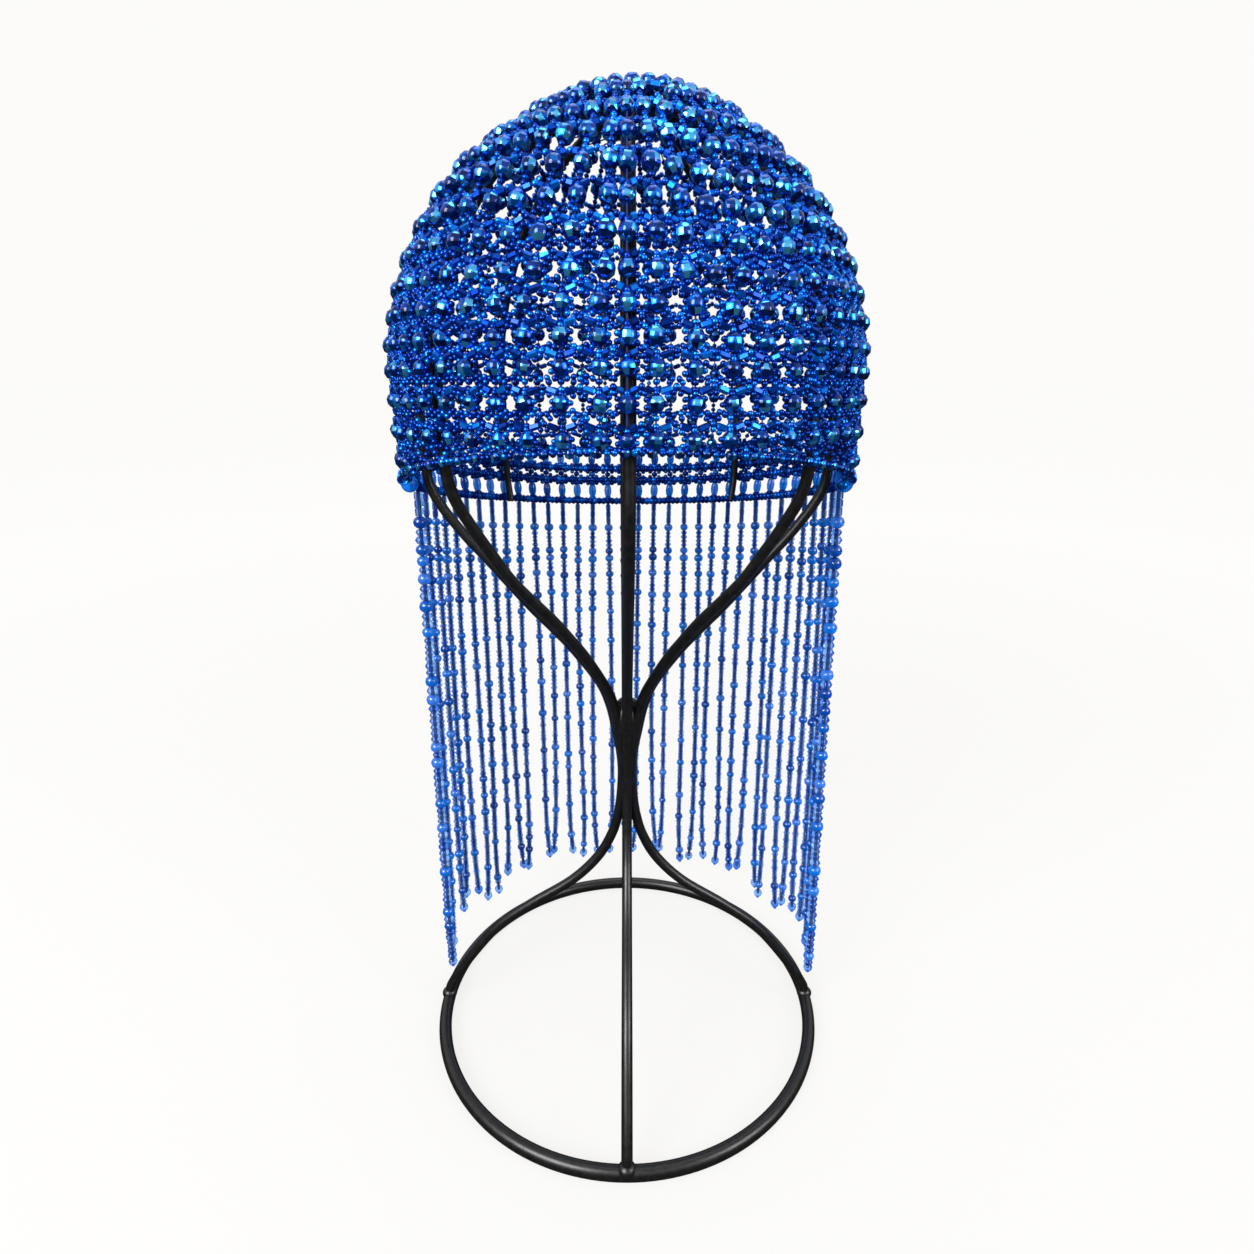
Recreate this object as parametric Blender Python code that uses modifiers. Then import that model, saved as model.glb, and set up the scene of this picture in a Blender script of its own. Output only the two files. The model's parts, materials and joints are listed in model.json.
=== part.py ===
"""A net cap of glass beads with a long beaded fringe, on the black wire stand that holds it.

Units are metres, +Z is up and the face opening looks towards -Y. The origin lies on the
surface that the stand rests on, at the middle of its base ring. Azimuths are in degrees,
0 at the front, growing towards +X, 180 at the back.
"""

from math import cos, pi, radians, sin

import bmesh
import bpy
from mathutils import Matrix, Vector

# Clearance between pieces that touch
SEAT = 0.0003

# Stand: base ring
RING_RADIUS = 0.095
RING_WIDTH = 0.0062
RING_HEIGHT = 0.0074
RING_SIDES = 10
RING_STEPS = 56
RING_TOP = RING_HEIGHT * cos(pi / RING_SIDES)

# Stand: wires. A row is a place on a wire, (radius from the axis, height)
WIRE_DIAMETER = 0.0048
LEG_PROFILE = (
    (0.0944, RING_TOP + 2 * SEAT),
    (0.0933, 0.0120),
    (0.0858, 0.0244),
    (0.0680, 0.0475),
    (0.0496, 0.0625),
    (0.0280, 0.0771),
    (0.0145, 0.0913),
    (0.0072, 0.1052),
    (0.0041, 0.1165),
)
NECK_PROFILE = (
    (0.0041, 0.1168),
    (0.0028, 0.1260),
    (0.0021, 0.1390),
    (0.0029, 0.1500),
    (0.0047, 0.1600),
    (0.0075, 0.1735),
)
FLARE_PROFILE = (
    (0.0077, 0.1743),
    (0.0127, 0.1860),
    (0.0240, 0.2015),
    (0.0345, 0.2132),
    (0.0430, 0.2222),
    (0.0608, 0.2432),
    (0.0715, 0.2557),
    (0.0805, 0.2686),
    (0.0840, 0.2775),
)
DIAGONAL_PROFILE = (
    (0.0077, 0.1743),
    (0.0123, 0.1850),
    (0.0232, 0.2021),
    (0.0320, 0.2133),
    (0.0410, 0.2240),
    (0.0585, 0.2425),
    (0.0676, 0.2550),
    (0.0762, 0.2678),
    (0.0822, 0.2785),
)
SHORT_RIB_PROFILE = (
    (0.0824, 0.2596),
    (0.0842, 0.2686),
    (0.0848, 0.2775),
)
SHORT_RIB_DIAMETER = 0.0032
WAIST_HEIGHT = 0.1390
LEG_AZIMUTHS = {"front": 0, "right": 90, "back": 180, "left": -90}
LONG_RIB_AZIMUTHS = {
    "front": 0.5,
    "front_right": 48,
    "right": 90,
    "back": 181,
    "left": -90,
    "front_left": -48,
}
DIAGONAL_RIBS = ("front_right", "front_left")
SHORT_RIB_AZIMUTHS = {"back_right": 140, "back_left": -135}
FOOT_WELD_RADIUS = 0.0036
FOOT_WELD_HEIGHT = 0.0040
CROWN_WELD_RADIUS = 0.0085
CROWN_WELD_THICKNESS = 0.0038

# Cap: the surface that the bead centres lie on
CAP_RADIUS = 0.0913
CAP_WIDEST_HEIGHT = 0.3196
CAP_RISE = 0.0976
CAP_ROUNDNESS = 1.87
CAP_TUCK = 0.73
CAP_WALL = 0.0050
RIB_INSET = 0.0060
CROWN_STOP = 0.0093
RIB_STEP = 0.0170

# Cap: lower edge, a plane that tilts down towards the back
EDGE_HEIGHT = 0.2748
EDGE_TILT = 0.0198
FRONT_EDGE_DROP = 0.0003
BACK_EDGE_RISE = 0.0130
EDGE_STEP_FROM = 76.5
EDGE_STEP_TO = 83

# Cap: rows of the net, by their height at the front
LEVEL_ROWS = (0.3386, 0.3477, 0.3577, 0.3680, 0.3784, 0.3882, 0.3963, 0.4050, 0.4125)
LOWER_BANDS = 9
GAP_BANDS = (1, 3, 5, 7)
NET_COLUMNS = 48

# Rim ladder and fringe
LADDER_HEIGHT = 0.0110
STRING_DIAMETER = 0.0024
RUNG_DIAMETER = 0.0024
STRAND_DIAMETER = 0.0032
BAR_SIDES = 5
STRANDS = 34
FIRST_STRAND = 89.5
STRAND_PITCH = 5.4
STRING_OVERHANG = 3.6
STRING_STEPS = 30
# Where the fringe ends: (azimuth, height of the tip, how far the tip leans outwards)
FRINGE_HEM = (
    (89, 0.0160, 0.0060),
    (95, 0.0310, 0.0060),
    (101, 0.0420, 0.0055),
    (111, 0.0325, 0.0050),
    (124, 0.0275, 0.0040),
    (134, 0.0375, 0.0030),
    (158, 0.0300, 0.0025),
    (170, 0.0345, 0.0020),
    (190, 0.0290, 0.0020),
    (204, 0.0360, 0.0025),
    (229, 0.0360, 0.0030),
    (237, 0.0280, 0.0035),
    (252, 0.0450, 0.0035),
    (258, 0.0400, 0.0035),
    (263, 0.0285, 0.0040),
    (268, 0.0155, 0.0040),
)
STRAND_WAVE = 0.0016

NET_BLUE = (0.010, 0.085, 0.520, 1.0)
FRINGE_BLUE = (0.008, 0.110, 0.620, 1.0)
STAND_BLACK = (0.012, 0.012, 0.013, 1.0)


def clear_scene():
    for item in list(bpy.data.objects):
        bpy.data.objects.remove(item, do_unlink=True)


def make_collection(name):
    group = bpy.data.collections.new(name)
    bpy.context.scene.collection.children.link(group)
    return group


def make_material(name, colour, roughness, metallic):
    finish = bpy.data.materials.new(name)
    finish.use_nodes = True
    shader = finish.node_tree.nodes["Principled BSDF"]
    shader.inputs["Base Color"].default_value = colour
    shader.inputs["Roughness"].default_value = roughness
    shader.inputs["Metallic"].default_value = metallic
    finish.diffuse_color = colour
    return finish


def polar(azimuth, radius, height):
    """The point at this azimuth, in degrees from the front, radius and height."""
    turn = radians(azimuth)
    return Vector((radius * sin(turn), -radius * cos(turn), height))


def cap_radius(height):
    """Radius of the bead surface at a height: a soft taper below, a superellipse above."""
    rise = height - CAP_WIDEST_HEIGHT
    if rise <= 0:
        return CAP_RADIUS - CAP_TUCK * rise * rise
    share = min(rise / CAP_RISE, 1.0)
    return CAP_RADIUS * (1 - share**CAP_ROUNDNESS) ** (1 / CAP_ROUNDNESS)


def surface_point(azimuth, height):
    """The point of the bead surface at an azimuth and height."""
    return polar(azimuth, cap_radius(height), height)


def edge_height(azimuth):
    """The lowest edge of the hat: the beads of the rim in front, the foot of the ladder behind."""
    return EDGE_HEIGHT + EDGE_TILT * cos(radians(azimuth))


def net_edge_height(azimuth):
    """Lowest line of the net: at the rim in front, above the ladder at the sides and back."""
    turn = abs((azimuth + 180) % 360 - 180)
    share = min(max((turn - EDGE_STEP_FROM) / (EDGE_STEP_TO - EDGE_STEP_FROM), 0.0), 1.0)
    return edge_height(azimuth) - FRONT_EDGE_DROP + share * (BACK_EDGE_RISE + FRONT_EDGE_DROP)


def smooth_path(rows, steps):
    """Points of a Catmull-Rom curve through (radius, height) rows, with steps to each row."""
    padded = [rows[0], *rows, rows[-1]]
    path = []
    for a, b, c, d in zip(padded, padded[1:], padded[2:], padded[3:]):
        for step in range(steps):
            t = step / steps
            path.append(
                tuple(
                    0.5
                    * (
                        2 * b[k]
                        + (c[k] - a[k]) * t
                        + (2 * a[k] - 5 * b[k] + 4 * c[k] - d[k]) * t * t
                        + (3 * b[k] - a[k] - 3 * c[k] + d[k]) * t**3
                    )
                    for k in (0, 1)
                )
            )
    path.append(rows[-1])
    return path


def make_wire(name, points, diameter, finish, group, resolution=2):
    """A round wire along the points, as a curve with filled caps."""
    curve = bpy.data.curves.new(name, "CURVE")
    curve.dimensions = "3D"
    curve.bevel_depth = diameter / 2
    curve.bevel_resolution = resolution
    curve.use_fill_caps = True
    spline = curve.splines.new("POLY")
    spline.points.add(len(points) - 1)
    for place, point in zip(spline.points, points):
        place.co = (*point, 1)
        place.radius = 1.0
    curve.materials.append(finish)
    wire = bpy.data.objects.new(name, curve)
    group.objects.link(wire)
    return wire


def make_mesh_object(name, shape, finish, group):
    mesh = bpy.data.meshes.new(name)
    shape.to_mesh(mesh)
    shape.free()
    mesh.materials.append(finish)
    item = bpy.data.objects.new(name, mesh)
    group.objects.link(item)
    return item


def as_mesh(item, group):
    """Turns a curve object into a mesh object of the same name, with its caps welded on."""
    bpy.context.view_layer.update()
    graph = bpy.context.evaluated_depsgraph_get()
    mesh = bpy.data.meshes.new_from_object(item.evaluated_get(graph))
    shape = bmesh.new()
    shape.from_mesh(mesh)
    bmesh.ops.remove_doubles(shape, verts=shape.verts, dist=1e-6)
    bmesh.ops.recalc_face_normals(shape, faces=shape.faces)
    shape.to_mesh(mesh)
    shape.free()
    name = item.name
    matrix = item.matrix_world.copy()
    bpy.data.objects.remove(item, do_unlink=True)
    solid = bpy.data.objects.new(name, mesh)
    solid.matrix_world = matrix
    group.objects.link(solid)
    return solid


def fuse(base, others):
    """Joins the other solids into the base solid with Boolean unions."""
    for other in others:
        join = base.modifiers.new("join " + other.name, "BOOLEAN")
        join.operation = "UNION"
        join.solver = "EXACT"
        join.object = other
    bpy.context.view_layer.update()
    graph = bpy.context.evaluated_depsgraph_get()
    mesh = bpy.data.meshes.new_from_object(base.evaluated_get(graph))
    base.modifiers.clear()
    base.data = mesh
    for other in others:
        bpy.data.objects.remove(other, do_unlink=True)
    return base


def shade_round(item, angle=50):
    item.data.shade_smooth()
    item.data.set_sharp_from_angle(angle=radians(angle))


def make_base_ring(finish, group):
    """An oval tube bent to a circle, with a flat facet under it to rest on."""
    shape = bmesh.new()
    facet = 2 * pi / RING_SIDES
    lift = RING_HEIGHT / 2 * cos(facet / 2)
    rim = []
    for side in range(RING_SIDES):
        turn = pi / 2 - facet / 2 - side * facet
        across = RING_RADIUS + RING_WIDTH / 2 * cos(turn)
        rim.append(shape.verts.new((across, 0, lift + RING_HEIGHT / 2 * sin(turn))))
    for start, end in zip(rim, rim[1:] + rim[:1]):
        shape.edges.new((start, end))
    ring = make_mesh_object("base_ring", shape, finish, group)
    turn = ring.modifiers.new("turn", "SCREW")
    turn.steps = RING_STEPS
    turn.render_steps = RING_STEPS
    turn.use_merge_vertices = True
    turn.merge_threshold = 0.00001
    turn.use_smooth_shade = True
    return ring


def make_leg(side, azimuth, finish, group):
    """One leg, from its weld on the ring up to the neck."""
    rows = smooth_path(LEG_PROFILE, 2)
    points = [polar(azimuth, radius, height) for radius, height in rows]
    leg = as_mesh(make_wire(side + "_leg", points, WIRE_DIAMETER, finish, group), group)
    weld_shape = bmesh.new()
    foot = LEG_PROFILE[0]
    bmesh.ops.create_cone(
        weld_shape,
        cap_ends=True,
        segments=12,
        radius1=FOOT_WELD_RADIUS,
        radius2=WIRE_DIAMETER / 2 * 0.9,
        depth=FOOT_WELD_HEIGHT,
        matrix=Matrix.Translation(polar(azimuth, foot[0], foot[1] + FOOT_WELD_HEIGHT / 2 - SEAT)),
    )
    weld = make_mesh_object(side + "_foot_weld", weld_shape, finish, group)
    leg = fuse(leg, [weld])
    shade_round(leg)
    return leg


def make_neck(finish, group):
    """The welded bundle where the legs run together and open out into the ribs."""
    wires = []
    for side, azimuth in LONG_RIB_AZIMUTHS.items():
        first = WAIST_HEIGHT if side in DIAGONAL_RIBS else 0.0
        rows = [row for row in smooth_path(NECK_PROFILE, 2) if row[1] >= first]
        bend = LEG_AZIMUTHS.get(side, azimuth)
        points = []
        for radius, height in rows:
            share = min(max((height - WAIST_HEIGHT) / (rows[-1][1] - WAIST_HEIGHT), 0.0), 1.0)
            points.append(polar(bend + share * (azimuth - bend), radius, height))
        wire = make_wire("neck_" + side, points, WIRE_DIAMETER, finish, group)
        wires.append(as_mesh(wire, group))
    neck = fuse(wires[0], wires[1:])
    neck.name = "neck"
    shade_round(neck)
    return neck


def rib_path(start_rows):
    """From the neck or the rim up along the inside of the net to the crown."""
    rows = smooth_path(start_rows, 1)
    radius_limit = CAP_RADIUS - RIB_INSET
    rise_limit = CAP_RISE - RIB_INSET
    low = rows[-1][1] + 0.0095
    while low < CAP_WIDEST_HEIGHT:
        rows.append((cap_radius(low) - RIB_INSET, low))
        low += RIB_STEP
    turn = 0.0
    while True:
        height = rise_limit * sin(turn)
        radius = radius_limit * (1 - (height / rise_limit) ** CAP_ROUNDNESS) ** (1 / CAP_ROUNDNESS)
        if radius < CROWN_STOP + RIB_STEP / 3:
            break
        rows.append((radius, CAP_WIDEST_HEIGHT + height))
        turn += RIB_STEP / radius_limit
    share = (1 - (CROWN_STOP / radius_limit) ** CAP_ROUNDNESS) ** (1 / CAP_ROUNDNESS)
    rows.append((CROWN_STOP, CAP_WIDEST_HEIGHT + rise_limit * share))
    return rows


def make_rib(side, azimuth, start_rows, diameter, finish, group):
    points = [polar(azimuth, radius, height) for radius, height in rib_path(start_rows)]
    return make_wire(side + "_rib", points, diameter, finish, group)


def make_crown_weld(finish, group):
    """The small round plate that the rib ends meet on."""
    top = CAP_WIDEST_HEIGHT + CAP_RISE - RIB_INSET
    shape = bmesh.new()
    bmesh.ops.create_cone(
        shape,
        cap_ends=True,
        segments=16,
        radius1=CROWN_WELD_RADIUS,
        radius2=CROWN_WELD_RADIUS * 0.9,
        depth=CROWN_WELD_THICKNESS,
        matrix=Matrix.Translation((0, 0, top)),
    )
    return make_mesh_object("crown_weld", shape, finish, group)


def net_level(line, azimuth):
    """Height of a line of the net at an azimuth."""
    if line <= LOWER_BANDS:
        low = net_edge_height(azimuth)
        return low + (LEVEL_ROWS[0] - low) * line / LOWER_BANDS
    return LEVEL_ROWS[line - LOWER_BANDS]


def make_cap_net(finish, group):
    """The net of the cap: a thick open shell with gaps between the beads of its lower rows."""
    shape = bmesh.new()
    lines = []
    for line in range(LOWER_BANDS + len(LEVEL_ROWS)):
        ring = []
        for column in range(NET_COLUMNS):
            azimuth = 360 * column / NET_COLUMNS
            height = net_level(line, azimuth)
            ring.append(shape.verts.new(surface_point(azimuth, height)))
        lines.append(ring)
    for line, (low, high) in enumerate(zip(lines, lines[1:])):
        for column in range(NET_COLUMNS):
            if line in GAP_BANDS and (column + GAP_BANDS.index(line)) % 2:
                continue
            after = (column + 1) % NET_COLUMNS
            shape.faces.new((low[column], low[after], high[after], high[column]))
    crown = shape.verts.new((0, 0, CAP_WIDEST_HEIGHT + CAP_RISE))
    for column in range(NET_COLUMNS):
        shape.faces.new((lines[-1][column], lines[-1][(column + 1) % NET_COLUMNS], crown))
    net = make_mesh_object("cap_net", shape, finish, group)
    wall = net.modifiers.new("wall", "SOLIDIFY")
    wall.thickness = CAP_WALL
    wall.offset = 0.0
    wall.use_even_offset = True
    return net


def strand_azimuths():
    return [FIRST_STRAND + STRAND_PITCH * strand for strand in range(STRANDS)]


def string_points(rise):
    """Points along the rim from the first strand to the last, this far above the edge."""
    ends = strand_azimuths()
    span = ends[-1] - ends[0] + 2 * STRING_OVERHANG
    points = []
    for step in range(STRING_STEPS + 1):
        azimuth = ends[0] - STRING_OVERHANG + span * step / STRING_STEPS
        height = edge_height(azimuth) + rise
        points.append(surface_point(azimuth, height))
    return points


def make_bar(top, foot, diameter, finish, group):
    """A round bar between two points."""
    middle = (top + foot) / 2
    along = top - foot
    place = Matrix.Translation(middle) @ along.to_track_quat("Z", "X").to_matrix().to_4x4()
    shape = bmesh.new()
    bmesh.ops.create_cone(
        shape,
        cap_ends=True,
        segments=BAR_SIDES,
        radius1=diameter / 2,
        radius2=diameter / 2,
        depth=along.length,
        matrix=place,
    )
    return make_mesh_object("bar", shape, finish, group)


def make_rim_ladder(finish, group):
    """The upper string of the rim with its upright beads, open at the foot."""
    rise = LADDER_HEIGHT
    string = make_wire("rim_ladder", string_points(rise), STRING_DIAMETER, finish, group, 1)
    string = as_mesh(string, group)
    rungs = []
    for azimuth in strand_azimuths():
        edge = edge_height(azimuth)
        foot = edge + STRING_DIAMETER / 2 + SEAT * 2
        ends = surface_point(azimuth, edge + rise), surface_point(azimuth, foot)
        rungs.append(make_bar(*ends, RUNG_DIAMETER, finish, group))
    ladder = fuse(string, rungs)
    ladder.name = "rim_ladder"
    return ladder


def hem_row(azimuth):
    """Tip height and outward lean of the fringe at an azimuth, read between the table's rows."""
    for low, high in zip(FRINGE_HEM, FRINGE_HEM[1:]):
        if azimuth <= high[0]:
            share = min(max((azimuth - low[0]) / (high[0] - low[0]), 0.0), 1.0)
            return tuple(low[k] + share * (high[k] - low[k]) for k in (1, 2))
    return FRINGE_HEM[-1][1:]


def strand_tip(strand, azimuth):
    """Where a strand ends: its own small swing to the side, its length and its lean."""
    height, lean = hem_row(azimuth)
    swing = STRAND_WAVE * sin(2.4 * strand)
    top_radius = cap_radius(edge_height(azimuth))
    height += STRAND_WAVE * 1.4 * cos(1.7 * strand)
    outwards = polar(azimuth, 1.0, 0)
    sideways = Vector((-outwards.y, outwards.x, 0))
    return outwards * (top_radius + lean) + sideways * swing + Vector((0, 0, height))


def make_fringe(finish, group):
    """The lower string of the rim with all the strands that hang from it."""
    string = as_mesh(make_wire("fringe", string_points(0), STRING_DIAMETER, finish, group, 1), group)
    strands = []
    for strand, azimuth in enumerate(strand_azimuths()):
        tip = strand_tip(strand, azimuth)
        top = surface_point(azimuth, edge_height(azimuth))
        strands.append(make_bar(top, tip, STRAND_DIAMETER, finish, group))
    fringe = fuse(string, strands)
    fringe.name = "fringe"
    return fringe


def main():
    clear_scene()
    group = make_collection("beaded hat on a stand")
    black = make_material("satin black steel", STAND_BLACK, 0.42, 0.0)
    net_blue = make_material("blue glass beads", NET_BLUE, 0.12, 0.35)
    fringe_blue = make_material("blue seed beads", FRINGE_BLUE, 0.15, 0.2)

    make_base_ring(black, group)
    for side, azimuth in LEG_AZIMUTHS.items():
        make_leg(side, azimuth, black, group)
    make_neck(black, group)
    for side, azimuth in LONG_RIB_AZIMUTHS.items():
        profile = DIAGONAL_PROFILE if side in DIAGONAL_RIBS else FLARE_PROFILE
        make_rib(side, azimuth, profile, WIRE_DIAMETER, black, group)
    for side, azimuth in SHORT_RIB_AZIMUTHS.items():
        make_rib(side, azimuth, SHORT_RIB_PROFILE, SHORT_RIB_DIAMETER, black, group)
    make_crown_weld(black, group)
    make_cap_net(net_blue, group)
    make_rim_ladder(net_blue, group)
    make_fringe(fringe_blue, group)


main()
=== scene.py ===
"""A beaded hat on its wire stand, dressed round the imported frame.

The frame is in metres with +Z up, and the face opening looks towards -Y. Azimuths are in
degrees, 0 at the front, growing towards +X, 180 at the back.
"""

import json
import random
from math import cos, pi, radians, sin

import bmesh
import bpy
from mathutils import Matrix, Quaternion, Vector

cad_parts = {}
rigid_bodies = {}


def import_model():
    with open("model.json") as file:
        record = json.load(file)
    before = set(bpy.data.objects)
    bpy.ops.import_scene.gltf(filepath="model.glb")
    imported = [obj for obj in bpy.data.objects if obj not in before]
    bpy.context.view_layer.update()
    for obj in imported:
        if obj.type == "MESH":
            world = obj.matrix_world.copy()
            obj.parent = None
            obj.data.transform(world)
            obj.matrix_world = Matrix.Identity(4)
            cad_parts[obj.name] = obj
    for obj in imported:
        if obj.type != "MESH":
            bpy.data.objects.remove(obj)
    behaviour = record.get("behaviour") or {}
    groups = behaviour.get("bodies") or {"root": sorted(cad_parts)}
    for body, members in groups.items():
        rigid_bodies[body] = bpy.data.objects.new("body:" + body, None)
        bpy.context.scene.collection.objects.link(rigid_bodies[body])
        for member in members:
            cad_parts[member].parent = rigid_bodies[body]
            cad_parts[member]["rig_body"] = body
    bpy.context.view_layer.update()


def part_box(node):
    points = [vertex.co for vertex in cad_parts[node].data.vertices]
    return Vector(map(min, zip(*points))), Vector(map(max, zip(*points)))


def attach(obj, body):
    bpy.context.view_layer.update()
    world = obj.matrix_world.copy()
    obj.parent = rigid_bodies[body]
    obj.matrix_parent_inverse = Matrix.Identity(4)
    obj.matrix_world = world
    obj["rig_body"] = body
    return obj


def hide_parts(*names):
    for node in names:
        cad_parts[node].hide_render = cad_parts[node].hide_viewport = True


bl_info = {
    "name": "Beaded Hat on a Stand",
    "version": (1, 0, 0),
    "blender": (4, 5, 0),
    "location": "View3D > Sidebar > Beaded Hat",
    "description": "Glass bead net, rim, fringe and black wire stand round a packed frame",
    "category": "Object",
}

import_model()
BODY = "root"
MM = 0.001

# Places on the stand's wires, (radius from the axis, height)
LEG_PROFILE = (
    (0.0950, 0.0040), (0.0944, 0.0080), (0.0933, 0.0120), (0.0858, 0.0244), (0.0680, 0.0475),
    (0.0496, 0.0625), (0.0280, 0.0771), (0.0145, 0.0913), (0.0072, 0.1052), (0.0041, 0.1165),
)
NECK_PROFILE = (
    (0.0028, 0.1260), (0.0021, 0.1390), (0.0029, 0.1500), (0.0047, 0.1600), (0.0077, 0.1740),
)
FLARE_PROFILE = (
    (0.0127, 0.1860), (0.0240, 0.2015), (0.0345, 0.2132), (0.0430, 0.2222),
    (0.0608, 0.2432), (0.0715, 0.2557), (0.0805, 0.2686), (0.0840, 0.2775),
)
DIAGONAL_PROFILE = (
    (0.0123, 0.1850), (0.0232, 0.2021), (0.0320, 0.2133), (0.0410, 0.2240),
    (0.0585, 0.2425), (0.0676, 0.2550), (0.0762, 0.2678), (0.0822, 0.2785),
)
SHORT_RIB_PROFILE = ((0.0824, 0.2596), (0.0842, 0.2686), (0.0848, 0.2775))
WAIST_HEIGHT = 0.1390
NECK_WELD = (0.1665, (0.0150, 0.0150, 0.0230, 1))
LEGS = (0, 90, 180, -90)
# Long ribs that go on from a leg, and that leg's azimuth
LEG_AZIMUTHS = {0.5: 0, 90: 90, -90: -90, 181: 180}
LONG_RIBS = (0.5, 48, 90, 181, -90, -48)
SHORT_RIBS = (140, -135)
# The long ribs are drawn slimmer above the neck: by what share, from what height, over how much
RIB_SLIMMING = (0.11, 0.18, 0.08)
RING_SECTION = 0.0062
RING_STEPS = 160
# Widths of the weld beads, each ended with 1
FOOT_WELD = (0.0078, 0.0074, 0.0062, 1)
CROWN_WELD = (0.0190, 0.0190, 0.0048, 1)

# Cap: the surface that the bead centres lie on, and its lower edge
CAP_RADIUS = 0.0913
CAP_WIDEST_HEIGHT = 0.3196
CAP_RISE = 0.0976
CAP_ROUNDNESS = 1.87
CAP_TUCK = 0.73
RIB_INSET = 0.0060
CROWN_STOP = 0.0080
# Steps of the ribs' paths inside the net, and how far before its ends they stop
RIB_FIRST_STEP = 0.0095
RIB_STEP = 0.0110
RIB_STOP = 0.004
EDGE_HEIGHT = 0.2748
EDGE_TILT = 0.0198

# Rows of large beads: (height at the front, how far the row dips at the back)
NET_ROWS = (
    (0.4065, 0.0), (0.3977, 0.0), (0.3888, 0.0), (0.3784, 0.0), (0.3682, 0.0),
    (0.3582, 0.0), (0.3480, 0.0), (0.3388, 0.0), (0.3297, 0.0004), (0.3213, 0.0012),
    (0.3111, 0.0022), (0.3005, 0.0036), (0.2900, 0.0040), (0.2806, 0.0044),
)
# How much lower the upper rows hang on the right of the cap than on its left
RIGHT_SAG = (0.0020, 0.0032, 0.0042, 0.0038, 0.0030, 0.0024, 0.0016, 0.0016, 0.0013, 0.0007)
# Azimuths between which they do: the start, all of it, the last of all of it, and the end
RIGHT_SPAN = (2, 24, 116, 166)
# Rings of beads on the crown above those rows: (radius, beads)
CROWN_RINGS = ((0.0270, 30), (0.0187, 21), (0.0103, 11), (0.0, 1))
# The short row over the sagging right side: (radius, first and last azimuth, beads)
CROWN_ARC = (0.0345, 28, 152, 13)
# Bugles between those rings: the gap outside each ring, and their pitch round the crown
CROWN_LINK_GAPS = (0.0084, 0.0083, 0.0083)
CROWN_LINK_PITCH = 0.0062
CROWN_SETTLES_FROM = 0.3800
CROWN_SETTLES_OVER = 0.02
CROWN_SETTLE = 0.0018
# The sinking's share in the middle, and the width over which it changes from left to right
SETTLE_FADE = (0.25, 0.030)
# One bead in five is left out of the top row, counted by this spacing in degrees
TOP_ROW_PITCH = 7.276
# Rows with slightly smaller beads at the top, and the first row with the lower beads
TOP_ROWS = 2
TOP_BEAD_SHARE = 0.94
LOW_ROWS_FROM = 9
# Fine seeds between the large beads: from which row, and how far round from the front
RINGS_FROM_ROW = 5
RINGS_WITHIN = 80
NARROWEST_RING = 4.5
RING_COUNT = 9
RING_HALF_HEIGHT = 0.0033
STAYS_FROM_ROW = 4
STAYS_WITHIN = 72
# Chances of a pair of stays in the upper rows and in the lower ones
STAY_CHANCES = (0.62, 0.95)
# Columns of beads, in degrees to the right and to the left of the middle of the front
WIDE_COLUMNS = ((5.4, 12.7, 20.0, 27.2, 34.5, 41.8), (5.1, 12.2, 19.4, 25.9, 32.3, 39.2))
CLOSE_COLUMNS = ((5.6, 11.2, 17.0, 23.0, 29.0, 35.2, 41.6), (4.2, 10.9, 17.8, 24.7, 32.0, 39.4))
LAST_COLUMN = 172.8
# Bands of rows with the same columns: (first row, last row, columns, columns on each side)
BANDS = (
    (0, 1, WIDE_COLUMNS, (24, 24)),
    (2, 6, CLOSE_COLUMNS, (28, 24)),
    (7, 13, WIDE_COLUMNS, (24, 24)),
)
# Front edge: how far round it goes, and the rise of its beads and of the net's floor there
RIM_FRONT_END = 84.0
FRONT_EDGE_RISE = 0.0024
FRONT_FLOOR_RISE = 0.0020
ROW_CLEARANCE = 0.0016
# Strings of the rim at the sides and back: heights over the lowest, and the width of their seeds
BACK_STRINGS = (0.0, 0.0110, 0.0170, 0.0268)
STRING_SEED = 4.1 * MM
# Uprights between the strings: the oval bead's width, its end seeds, and the seeds between pairs
OVAL_WIDTH = 4.0 * MM
END_SEED = (3.9 * MM, 3.9 * MM, 2.8 * MM)
LADDER_SEED = 3.4 * MM
# Small seeds round each crossing: degrees to the side, way up or down, and width
CROSS_SEEDS = (1.5, 1.7 * MM, 2.3 * MM)
# Thread bound round each corner: turns, points to a turn, length and radius of the coil
BINDING = (7, 12, 0.0056, 0.0020)

# Round beads at each end of the front edge: (azimuth, rise over the edge, lift outwards, width)
CORNER_BEADS = (
    (88.5, 0.0010, 0.0014, 0.0074),
    (91.5, 0.0068, 0.0016, 0.0068),
    (86.5, 0.0096, 0.0016, 0.0064),
    (92.5, 0.0130, 0.0012, 0.0062),
)

# Fringe
STRANDS = 34
FIRST_STRAND = 89.5
STRAND_PITCH = 5.4
STRING_OVERHANG = 3.6
STRAND_WAVE = 0.0016
STRAND_CURL = 0.0016
# Where the rounder beads of a strand sit, from its top, and the gaps between the later ones
FIRST_MARKS = (0.0126, 0.0262, 0.0310, 0.0400, 0.0510)
MARK_GAPS = (0.0095, 0.0140, 0.0190, 0.0240)
# Tube beads at the top of a strand: down to where, how far apart, and how long
TUBES_UNTIL = 0.0100
TUBE_PITCH = 0.0035
TUBE_LENGTH = 3.4 * MM
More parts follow.
